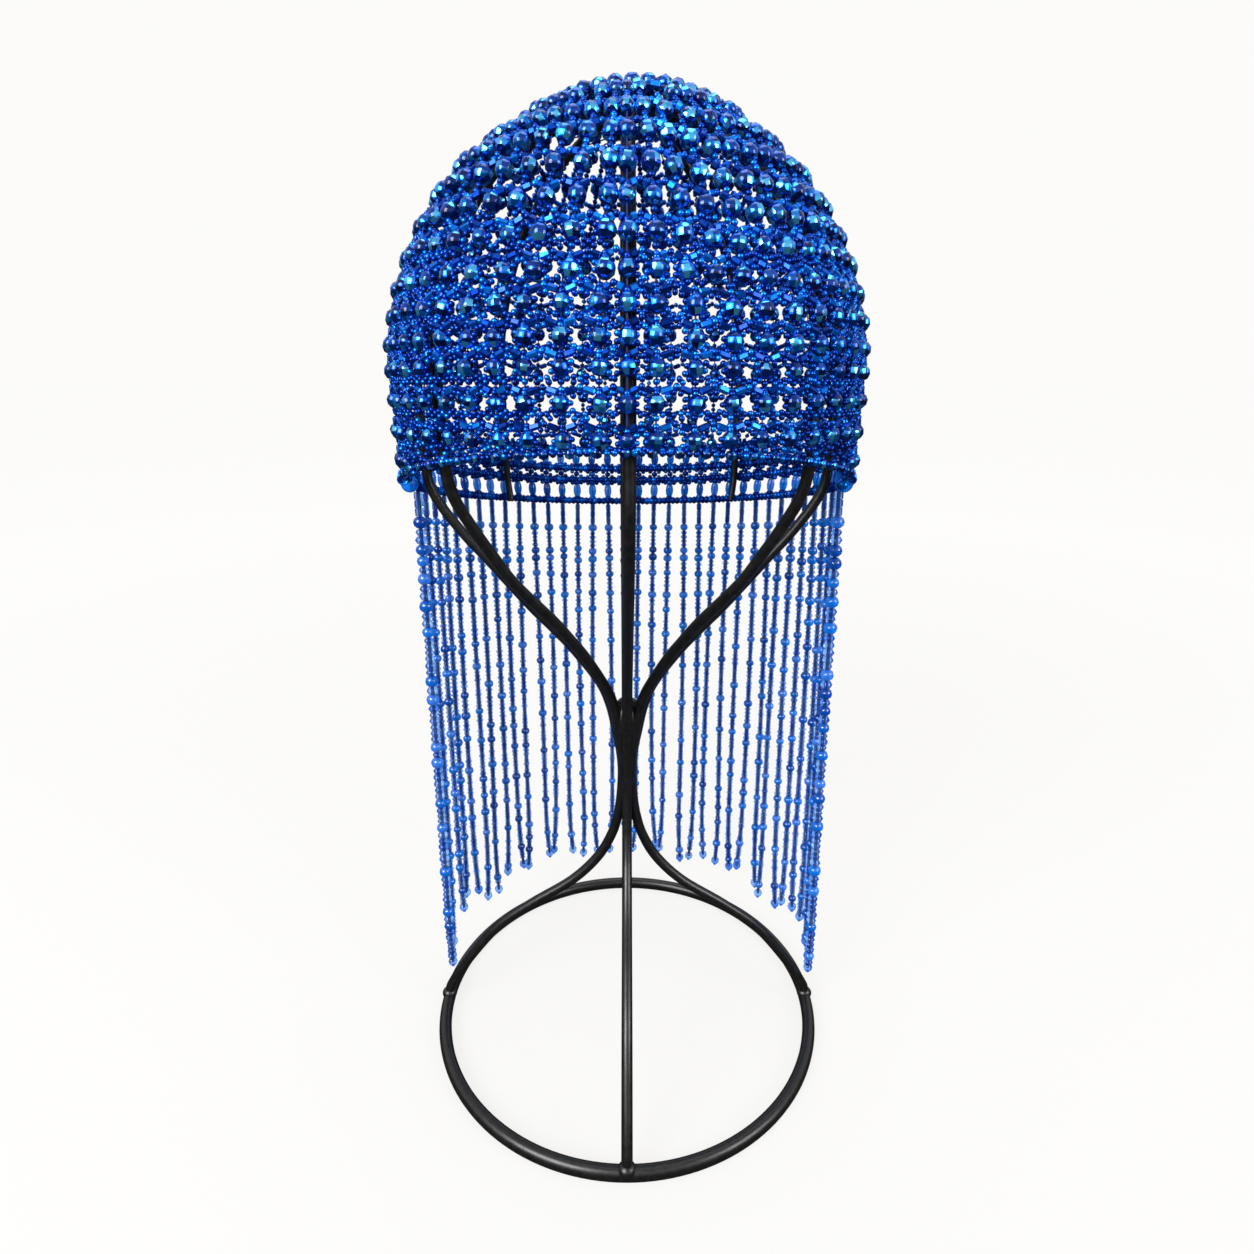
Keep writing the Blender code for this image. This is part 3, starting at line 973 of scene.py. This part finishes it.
def seeds_between(places, start, end, size):
    """Seed beads evenly from one point to another, without the two ends."""
    gap = end - start
    count = int(round(gap.length / size)) - 1
    for number in range(count):
        share = (number + 1) / (count + 1)
        places.add(start + gap * share, gap, seed_sizes(size * places.chance.uniform(0.94, 1.04)))


class HAT_OT_net_links(bpy.types.Operator):
    """Joins the rows of the cap with bugle beads and seed beads on their thread"""

    bl_idname = "hat.net_links"
    bl_label = "Net Links"

    def execute(self, context):
        sizes = context.scene.hat_sizes
        bugles = Places(21)
        seeds = Places(22)
        rings = Places(23)
        threads = []
        seed = sizes.seed
        for first, last, fronts, counts in BANDS:
            azimuths = columns(fronts, counts)
            for azimuth in azimuths:
                rows = rows_at(azimuth, first - 1, last)
                threads.append([row_place(row, azimuth)[0] for row in rows])
                if azimuth == 0 and first > 0:
                    continue
                for upper, lower in zip(rows, rows[1:]):
                    self.add_upright(seeds, azimuth, upper, lower, sizes)
            for left, right, middle in half_columns(azimuths):
                turn = turn_from_front(middle)
                rows = rows_at(middle, first - 1, last)
                for upper, lower in zip(rows, rows[1:]):
                    self.add_zigzag(bugles, seeds, threads, left, right, upper, lower, sizes)
                for row in rows:
                    wide = right - left > NARROWEST_RING
                    if wide and row >= max(first, RINGS_FROM_ROW) and turn < RINGS_WITHIN:
                        self.add_ring(rings, middle, row, left, right, seed)
                for upper, lower in zip(rows, rows[1:]):
                    likely = STAY_CHANCES[upper >= LOW_ROWS_FROM]
                    clear = 0 not in (left, right) and upper >= STAYS_FROM_ROW
                    clear = clear and turn < STAYS_WITHIN
                    if clear and rings.chance.random() < likely:
                        self.add_stays(rings, left, right, upper, lower, sizes)
                if last == len(NET_ROWS) - 1:
                    self.add_foot(seeds, threads, left, right, middle, rows, seed)
        spots = []
        for (radius, _), gap in zip(CROWN_RINGS, CROWN_LINK_GAPS):
            middle = radius + gap / 2
            number = max(6, int(2 * pi * middle / CROWN_LINK_PITCH))
            height = cap_height(middle)
            spots += [(360 * step / number, 360 / number, height) for step in range(number)]
        radius, start, end, count = CROWN_ARC
        pitch = (end - start) / (count - 1)
        height = cap_height(radius + 0.0036)
        spots += [(start + pitch * step, pitch, height) for step in range(count - 1)]
        for azimuth, pitch, height in spots:
            self.add_link(bugles, seeds, threads, azimuth, azimuth + pitch, height, sizes)
        set_each(bugle_bead("tube"), ("net_bugles", bugles, seed_glass, "seed_glass"))
        set_each(
            round_bead("ball"),
            ("net_seeds", seeds, seed_glass, "seed_glass"),
            ("net_rings", rings, seed_glass, "seed_glass"),
        )
        paths = [path for path in threads if len(path) > 1]
        line = wires_object("net_threads", paths, sizes.thread, material(beading_thread), 0)
        take_place(line, "seed_glass")
        return {"FINISHED"}

    def add_upright(self, seeds, azimuth, upper, lower, sizes):
        """Seeds straight down from one row to the next."""
        start = row_place(upper, azimuth)[0]
        end = row_place(lower, azimuth)[0]
        along = (end - start).normalized()
        first = start + along * bead_width(upper, sizes) / 2
        last = end - along * bead_width(lower, sizes) / 2
        count = max(1, int(round((last - first).length / sizes.seed)))
        for number in range(count):
            share = (number + 0.5) / count
            seeds.add(first.lerp(last, share), along, seed_sizes(sizes.seed))

    def add_zigzag(self, bugles, seeds, threads, left, right, upper, lower, sizes):
        """Two bugles that meet in a peak between two columns, with a seed at each end."""
        shake = bugles.chance.uniform
        middle = (left + right) / 2
        foot_rise = bead_width(lower, sizes) * 0.46
        low, _, climb, _ = row_place(lower, middle)
        space = (row_place(upper, middle)[0] - low).length
        rise = min(foot_rise + shake(1.9, 2.5) * MM, space - bead_width(upper, sizes) * 0.30)
        peak = surface(middle, row_height(lower, middle) + rise * climb.z, 0.3 * MM)[0]
        for azimuth in (left, right):
            place, _, up, out = row_place(lower, azimuth)
            foot = place + up * (foot_rise + shake(0.0, 0.5) * MM) + out * 0.4 * MM
            gap = peak - foot
            length = max(min(sizes.bugle, gap.length - sizes.seed), 1.2 * MM)
            width = sizes.bugle_width * shake(0.92, 1.05)
            bugles.add((peak + foot) / 2, gap, (width, width, length))
            seeds.add(foot, gap, seed_sizes(sizes.seed))
            threads.append([foot, peak])
        seeds.add(peak, gap, seed_sizes(sizes.seed))

    def add_link(self, bugles, seeds, threads, left, right, height, sizes):
        """A bugle between two azimuths of the crown, leaning to one side, with its seeds."""
        shake = bugles.chance.uniform
        lean = shake(1.3, 1.9) * MM
        start, _, up, _ = surface(left, height)
        end = surface(right, height)[0]
        start = start + up * lean
        end = end - up * lean
        middle = surface((left + right) / 2, height, 0.0002)[0]
        along = end - start
        span = along.length
        length = min(sizes.bugle, span * 0.62)
        width = sizes.bugle_width
        bugles.add(middle, along, (width, width, length * shake(0.95, 1.05)))
        for sign, foot in ((-1, start), (1, end)):
            tip = middle + along.normalized() * sign * length / 2
            gap = foot - tip
            count = int(round((gap.length - sizes.seed * 0.45) / sizes.seed))
            for number in range(count):
                share = (number + 0.5) * sizes.seed / gap.length
                seeds.add(tip + gap * min(share, 1.0), gap, seed_sizes(sizes.seed))
        threads.append([start, middle, end])

    def add_ring(self, rings, middle, row, left, right, seed):
        """A ring of seed beads round the opening between two large beads."""
        height = row_height(row, middle)
        radius = cap_radius(height)
        half = radians(right - left) / 2 * radius
        across = max(min(half - 0.0027, RING_HALF_HEIGHT), 0.0014)
        place, along, up, _ = surface(middle, height)
        begin = rings.chance.uniform(0, 2 * pi / RING_COUNT)
        for number in range(RING_COUNT):
            turn = begin + 2 * pi * number / RING_COUNT
            point = place + along * across * cos(turn) + up * RING_HALF_HEIGHT * sin(turn)
            axis = -along * across * sin(turn) + up * RING_HALF_HEIGHT * cos(turn)
            width = seed * rings.chance.uniform(0.86, 0.98)
            rings.add(point, axis, seed_sizes(width))

    def add_stays(self, rings, left, right, upper, lower, sizes):
        """Seeds that run from below two large beads to the peak between the next two."""
        middle = (left + right) / 2
        low = row_height(lower, middle)
        high = row_height(upper, middle)
        meet = surface(middle, low + (high - low) * 0.5)[0]
        for azimuth in (left, right):
            place, _, up, _ = row_place(upper, azimuth)
            start = place - up * bead_width(upper, sizes) * 0.36
            seeds_between(rings, start, meet, sizes.seed * 0.95)

    def add_foot(self, seeds, threads, left, right, middle, rows, seed):
        """Seeds from the lowest row of this column down to the rim, leaning to both sides."""
        floor = net_floor(middle)
        lowest = row_height(rows[-1], middle)
        if lowest - floor < 0.0035:
            return
        foot = surface(middle, floor)[0]
        for azimuth in (left, right):
            place, _, up, _ = row_place(rows_at(azimuth)[-1], azimuth)
            start = place - up * 0.0020
            seeds_between(seeds, start, foot, seed)
            threads.append([start, foot])


def rim_points(start, end, rise, steps):
    points = []
    for step in range(steps + 1):
        azimuth = start + (end - start) * step / steps
        points.append(edge_place(azimuth, rise))
    return points


def beads_along(points, put_bead):
    """Puts one bead after another along a line; put_bead gives the way on to the next one."""
    left = 0.0
    for a, b in zip(points, points[1:]):
        run = (b - a).length
        along = (b - a) / run
        while left <= run:
            left += put_bead(a + along * left, along)
        left -= run


def strand_azimuths():
    return [FIRST_STRAND + STRAND_PITCH * strand for strand in range(STRANDS)]


class HAT_OT_rim(bpy.types.Operator):
    """Finishes the rim: small beads in front, strings and upright beads at the sides and back"""

    bl_idname = "hat.rim"
    bl_label = "Rim"

    def execute(self, context):
        sizes = context.scene.hat_sizes
        small = Places(31)
        seeds = Places(32)
        ovals = Places(33)
        threads = []
        front = rim_points(-RIM_FRONT_END, RIM_FRONT_END, FRONT_EDGE_RISE, 60)
        threads.append(front)

        def front_bead(place, along):
            number = len(seeds.points) + len(small.points)
            if number % 3:
                seeds.add(place, along, seed_sizes(sizes.seed, 0.9))
            else:
                small.add(place, along, sizes.rim_bead)
            return sizes.seed * 0.9 if number % 3 == 1 else (sizes.rim_bead + sizes.seed) / 2

        def string_bead(place, along):
            width = STRING_SEED * seeds.chance.uniform(0.95, 1.04)
            seeds.add(place, along, seed_sizes(width, 0.8))
            return STRING_SEED * 0.8 * 0.72

        beads_along(front, front_bead)
        ends = strand_azimuths()
        first, last = ends[0] - STRING_OVERHANG, ends[-1] + STRING_OVERHANG
        for rise in BACK_STRINGS:
            points = rim_points(first, last, rise, 90)
            threads.append(points)
            beads_along(points, string_bead)
        aside, away, width = CROSS_SEEDS
        for azimuth in ends:
            marks = [edge_place(azimuth, rise) for rise in BACK_STRINGS]
            threads.append(marks)
            for low, high in (marks[:2], marks[2:]):
                up = high - low
                ovals.add(low.lerp(high, 0.5), up, (OVAL_WIDTH, OVAL_WIDTH, up.length * 0.74))
                for share in (0.14, 0.86):
                    seeds.add(low.lerp(high, share), up, END_SEED)
            seeds_between(seeds, marks[1], marks[2], LADDER_SEED)
            for rise in BACK_STRINGS[1:3]:
                for across in (-aside, aside):
                    for lift in (-away, away):
                        height = edge_height(azimuth) + rise + lift
                        place, along, up, _ = surface(azimuth + across, height)
                        seeds.add(place, along * across + up * lift / MM, width)
        crystal = faceted_bead("small crystal", 6, 4)
        set_each(crystal, ("rim_beads", small, faceted_glass, "faceted_glass"))
        row = ("rim_seeds", seeds, seed_glass, "seed_glass", "rim_ladder")
        set_each(round_bead("ball", 8, 4), row)
        set_each(round_bead("oval", 8, 6), ("rim_uprights", ovals, bead_glass, "seed_glass"))
        line = wires_object("rim_threads", threads, sizes.thread, material(beading_thread), 0)
        take_place(line, "seed_glass")
        self.corners(sizes)
        return {"FINISHED"}

    def corners(self, sizes):
        """The round beads and the bound thread where the front edge meets the fringe."""
        beads = Places(34)
        coils = []
        turns, each, length, radius = BINDING
        for side in (-1, 1):
            for azimuth, rise, lift, width in CORNER_BEADS:
                place = surface(side * azimuth, edge_height(side * azimuth) + rise, lift)
                beads.add(place[0], place[2], width)
                beads.tones[-1] = 0.6
            height = edge_height(RIM_FRONT_END) + 0.0035
            place, along, up, out = surface(side * RIM_FRONT_END, height, 0.0018)
            way = (along * side + up * 0.45).normalized()
            path = []
            for step in range(turns * each + 1):
                turn = 2 * pi * step / each
                across = way * (step / (turns * each) - 0.5) * length
                path.append(place + across + (up * cos(turn) + out * sin(turn)) * radius)
            coils.append(path)
        row = ("corner_beads", beads, bead_glass, "seed_glass")
        set_each(round_bead("pearl", 12, 8), row)
        bound = wires_object("corner_binding", coils, 0.9 * MM, material(seed_glass), 1)
        tone = bound.data.attributes.new("tone", "FLOAT", "POINT")
        tone.data.foreach_set("value", [0.8] * len(bound.data.vertices))
        take_place(bound, "seed_glass")


def hem_row(azimuth):
    """Tip height and outward lean of the fringe at an azimuth, read between the table's rows."""
    for low, high in zip(FRINGE_HEM, FRINGE_HEM[1:]):
        if azimuth <= high[0]:
            share = clamp((azimuth - low[0]) / (high[0] - low[0]))
            return tuple(low[k] + share * (high[k] - low[k]) for k in (1, 2))
    return FRINGE_HEM[-1][1:]


def strand_points(strand, azimuth, drop):
    """A strand from the lowest string to the middle of its end bead."""
    height, lean = hem_row(azimuth)
    swing = STRAND_WAVE * sin(2.4 * strand)
    top = edge_place(azimuth)
    top_radius = cap_radius(edge_height(azimuth))
    height += STRAND_WAVE * 1.4 * cos(1.7 * strand)
    outwards = polar(azimuth, 1.0, 0)
    sideways = Vector((-outwards.y, outwards.x, 0))
    tip = outwards * (top_radius + lean) + sideways * swing + Vector((0, 0, height + drop / 2))
    points = []
    steps = 24
    for step in range(steps + 1):
        share = step / steps
        bow = sin(pi * share) * 0.0012 * sin(1.3 * strand + 1)
        curl = max(0.0, (share - 0.84) / 0.16) ** 2 * (STRAND_CURL if strand % 2 else -STRAND_CURL)
        points.append(top.lerp(tip, share) + sideways * (bow - curl))
    return points


class HAT_OT_fringe(bpy.types.Operator):
    """Hangs the beaded strands from the lowest string at the sides and back"""

    bl_idname = "hat.fringe"
    bl_label = "Fringe"

    def execute(self, context):
        sizes = context.scene.hat_sizes
        seeds = Places(41)
        beads = Places(42)
        tubes = Places(43)
        drops = Places(44)
        threads = []
        for strand, azimuth in enumerate(strand_azimuths()):
            thick = strand in (0, STRANDS - 1)
            points = strand_points(strand, azimuth, sizes.drop)
            threads.append(points)
            self.fill_strand(points, seeds, beads, tubes, drops, sizes, thick)
        row = ("fringe_seeds", seeds, strand_glass, "seed_glass", "fringe")
        set_each(round_bead("ball", 8, 4), row)
        set_each(
            round_bead("pearl", 10, 6),
            ("fringe_beads", beads, bead_glass, "seed_glass"),
            ("fringe_drops", drops, strand_glass, "seed_glass"),
        )
        set_each(bugle_bead("tube", 8), ("fringe_bugles", tubes, strand_glass, "seed_glass"))
        width = sizes.thread * 2.5
        line = wires_object("fringe_threads", threads, width, material(beading_thread), 1)
        take_place(line, "seed_glass")
        return {"FINISHED"}

    def fill_strand(self, points, seeds, beads, tubes, drops, sizes, thick):
        """Threads one strand: tube beads at the top, seeds with rounder beads, and a drop."""
        chance = beads.chance
        length = sum((b - a).length for a, b in zip(points, points[1:]))
        marks = [mark + chance.uniform(-0.5, 0.5) * MM for mark in FIRST_MARKS]
        while marks[-1] < length - 0.012:
            marks.append(marks[-1] + chance.choice(MARK_GAPS))
        travelled = 0.0020
        size = sizes.strand_seed * (1.5 if thick else 1.0)
        large = sizes.strand_bead * (1.3 if thick else 1.0)
        while travelled < length - sizes.drop * 0.9:
            if travelled < TUBES_UNTIL:
                point, along = place_on(points, travelled + 0.0017)
                tubes.add(point, along, (size * 0.74, size * 0.74, TUBE_LENGTH))
                travelled += TUBE_PITCH
                continue
            if marks and travelled >= marks[0] - large / 2:
                width = large * chance.uniform(0.9, 1.08)
                point, along = place_on(points, travelled + width * 0.45)
                beads.add(point, along, seed_sizes(width, 0.94))
                travelled += width * 0.92
                marks.pop(0)
                continue
            width = size * seeds.chance.uniform(0.80, 1.08)
            point, along = place_on(points, travelled + width * 0.33)
            seeds.add(point, along, seed_sizes(width, 0.74))
            travelled += width * 0.66
        point, along = place_on(points, length)
        drops.add(point, along, seed_sizes(sizes.drop, 1.05))
        ending = sizes.strand_seed * 0.55
        drops.add(point + along * sizes.drop * 0.55, along, seed_sizes(ending, 1.0))


def place_on(points, travelled):
    """The point and the direction this far along a line of points."""
    for a, b in zip(points, points[1:]):
        run = (b - a).length
        if travelled <= run:
            return a + (b - a) * (travelled / run), (b - a) / run
        travelled -= run
    last = points[-1]
    along = (last - points[-2]).normalized()
    return last + along * travelled, along


class HAT_OT_stage(bpy.types.Operator):
    """Sets the pale floor, the soft light and the camera"""

    bl_idname = "hat.stage"
    bl_label = "Stage"

    def execute(self, context):
        scene = context.scene
        stage = scene.hat_stage
        shape = bmesh.new()
        bmesh.ops.create_grid(shape, x_segments=1, y_segments=1, size=FLOOR_HALF)
        finish, tree, shader = new_material("pale floor", Roughness=1.0)
        grey = (0.08, 0.08, 0.08, 1)
        set_inputs(shader, Base_Color=grey, Specular_IOR_Level=0.0, Emission_Color=stage.floor)
        place = node(tree, "ShaderNodeTexCoord").outputs["Object"]
        distance = node(tree, "ShaderNodeVectorMath", operation="LENGTH")
        tree.links.new(place, distance.inputs[0])
        glow = node(tree, "ShaderNodeMapRange", interpolation_type="SMOOTHSTEP")
        dim = stage.glow - stage.dimming
        set_inputs(glow, From_Max=GLOW_REACH, To_Min=dim, To_Max=stage.glow)
        tree.links.new(distance.outputs["Value"], glow.inputs["Value"])
        tree.links.new(glow.outputs["Result"], shader.inputs["Emission Strength"])
        floor = mesh_object("floor", shape, finish)
        floor.visible_glossy = False
        scene.world = self.surround(stage)
        for name, place, size, share in LAMPS:
            lamp = bpy.data.lights.new(name, "AREA")
            lamp.shape = "SQUARE"
            lamp.size = size
            lamp.energy = stage.key * share
            item = link(bpy.data.objects.new(name, lamp))
            item.location = place
            aim = LAMP_TARGET - Vector(place)
            item.rotation_euler = aim.to_track_quat("-Z", "Y").to_euler()

        view = bpy.data.cameras.new("camera")
        view.sensor_width = SENSOR_WIDTH
        view.lens = stage.lens
        view.clip_start = 0.01
        view.clip_end = 50
        camera = link(bpy.data.objects.new("camera", view))
        camera.location = CAMERA_PLACE
        camera.rotation_euler = (pi / 2 - stage.tilt, 0, 0)
        scene.camera = camera
        scene.view_settings.view_transform = "Standard"
        return {"FINISHED"}

    def surround(self, stage):
        """A pale surround, in which polished things mirror a dimmer room, darker low down."""
        world = bpy.data.worlds.new("pale surround")
        world.use_nodes = True
        tree = world.node_tree
        pale = tree.nodes["Background"]
        set_inputs(pale, Color=SURROUND, Strength=stage.light)
        room = node(tree, "ShaderNodeBackground")
        set_inputs(room, Strength=stage.room)
        direction = node(tree, "ShaderNodeTexCoord").outputs["Object"]
        parts = node(tree, "ShaderNodeSeparateXYZ")
        tree.links.new(direction, parts.inputs[0])
        steps = [(height, (grey, grey, grey, 1)) for height, grey in ROOM_GREYS]
        colour_steps(tree, parts.outputs["Z"], steps, room.inputs["Color"])
        mixer = node(tree, "ShaderNodeMixShader")
        rays = node(tree, "ShaderNodeLightPath").outputs
        ends = (rays["Is Glossy Ray"], rays["Is Transmission Ray"])
        tree.links.new(maths(tree, "SUBTRACT", *ends, use_clamp=True), mixer.inputs["Fac"])
        tree.links.new(pale.outputs[0], mixer.inputs[1])
        tree.links.new(room.outputs[0], mixer.inputs[2])
        tree.links.new(mixer.outputs[0], tree.nodes["World Output"].inputs["Surface"])
        return world


class HAT_PT_panel(bpy.types.Panel):
    """Lists the pieces of the hat and its stand"""

    bl_idname = "HAT_PT_panel"
    bl_label = "Beaded Hat"
    bl_space_type = "VIEW_3D"
    bl_region_type = "UI"
    bl_category = "Beaded Hat"

    def draw(self, context):
        layout = self.layout
        for operator in OPERATORS:
            layout.operator(operator.bl_idname)
        for group in (context.scene.hat_sizes, context.scene.hat_colours, context.scene.hat_stage):
            box = layout.box()
            for label in group.__annotations__:
                box.prop(group, label)


OPERATORS = (
    HAT_OT_stand,
    HAT_OT_net_beads,
    HAT_OT_net_links,
    HAT_OT_rim,
    HAT_OT_fringe,
    HAT_OT_stage,
)
GROUPS = {"hat_sizes": HatSizes, "hat_colours": HatColours, "hat_stage": StageSettings}
CLASSES = (*GROUPS.values(), *OPERATORS, HAT_PT_panel)


def register():
    for item in CLASSES:
        bpy.utils.register_class(item)
    for name, group in GROUPS.items():
        setattr(bpy.types.Scene, name, bpy.props.PointerProperty(type=group))


def unregister():
    for name in GROUPS:
        delattr(bpy.types.Scene, name)
    for item in reversed(CLASSES):
        bpy.utils.unregister_class(item)


def main():
    for item in list(bpy.context.scene.objects):
        if "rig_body" not in item and not item.name.startswith("body:"):
            bpy.data.objects.remove(item, do_unlink=True)
    register()
    bpy.ops.hat.stand()
    bpy.ops.hat.net_beads()
    bpy.ops.hat.net_links()
    bpy.ops.hat.rim()
    bpy.ops.hat.fringe()
    bpy.ops.hat.stage()


if __name__ == "__main__":
    main()
